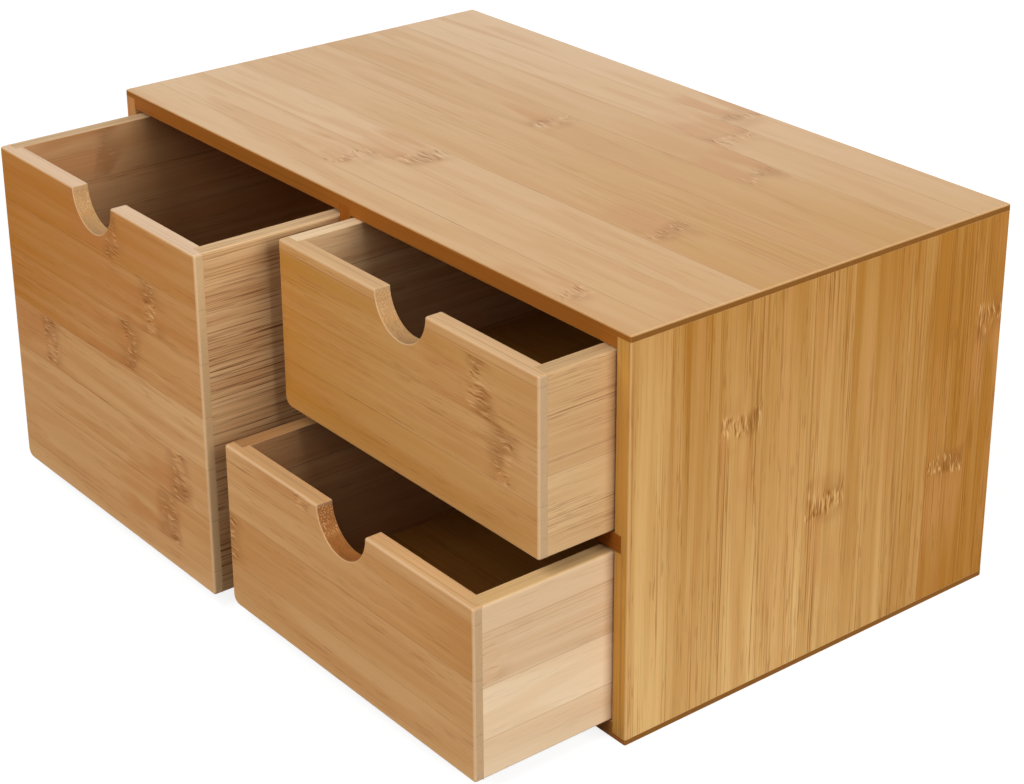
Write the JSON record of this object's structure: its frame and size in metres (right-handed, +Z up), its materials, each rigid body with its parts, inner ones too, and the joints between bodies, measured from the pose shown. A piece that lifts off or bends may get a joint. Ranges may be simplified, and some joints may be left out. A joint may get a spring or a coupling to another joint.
{
  "type": "desktop drawer cabinet",
  "caption": "Free-standing bamboo desktop cabinet with a tall drawer beside two stacked shallow drawers, each slid open by a half-round finger notch in its front.",
  "frame": {"origin": "middle of the cabinet's underside, on the surface that it stands on", "axes": "+X along the width to the right as seen from the front, -Y out of the open front in which the drawers slide, +Z up"},
  "size_m": [0.33, 0.2535, 0.16],
  "materials": {
    "top_bamboo": "light carbonised bamboo, clear satin lacquer, strips along the width",
    "case_bamboo": "carbonised bamboo, clear satin lacquer, strips upright",
    "inner_bamboo": "carbonised bamboo, clear satin lacquer",
    "back_bamboo": "thin bamboo board, clear satin lacquer",
    "front_bamboo": "carbonised bamboo, clear satin lacquer, strips along the width",
    "drawer_bamboo": "bamboo, fine-sawn, thin matt lacquer, fibres along the length",
    "thin_bamboo": "thin bamboo board, matt"
  },
  "bodies": {
    "cabinet": {"top_panel": "top_bamboo", "bottom_panel": "case_bamboo", "left_side_panel": "case_bamboo", "right_side_panel": "case_bamboo", "divider": "inner_bamboo", "shelf": "inner_bamboo", "back_panel": "back_bamboo"},
    "tall_drawer": {"tall_drawer_front": "front_bamboo", "tall_drawer_left_side": "drawer_bamboo", "tall_drawer_right_side": "drawer_bamboo", "tall_drawer_back": "drawer_bamboo", "tall_drawer_bottom": "thin_bamboo"},
    "upper_drawer": {"upper_drawer_front": "front_bamboo", "upper_drawer_left_side": "drawer_bamboo", "upper_drawer_right_side": "drawer_bamboo", "upper_drawer_back": "drawer_bamboo", "upper_drawer_bottom": "thin_bamboo"},
    "lower_drawer": {"lower_drawer_front": "front_bamboo", "lower_drawer_left_side": "drawer_bamboo", "lower_drawer_right_side": "drawer_bamboo", "lower_drawer_back": "drawer_bamboo", "lower_drawer_bottom": "thin_bamboo"}
  },
  "joints": [
    {"name": "tall_drawer_slide", "type": "slide", "parent": "cabinet", "child": "tall_drawer", "axis": [0, -1, 0], "range_m": [-0.0645, 0.0855]},
    {"name": "upper_drawer_slide", "type": "slide", "parent": "cabinet", "child": "upper_drawer", "axis": [0, -1, 0], "range_m": [-0.033, 0.117]},
    {"name": "lower_drawer_slide", "type": "slide", "parent": "cabinet", "child": "lower_drawer", "axis": [0, -1, 0], "range_m": [-0.061, 0.089]}
  ]
}
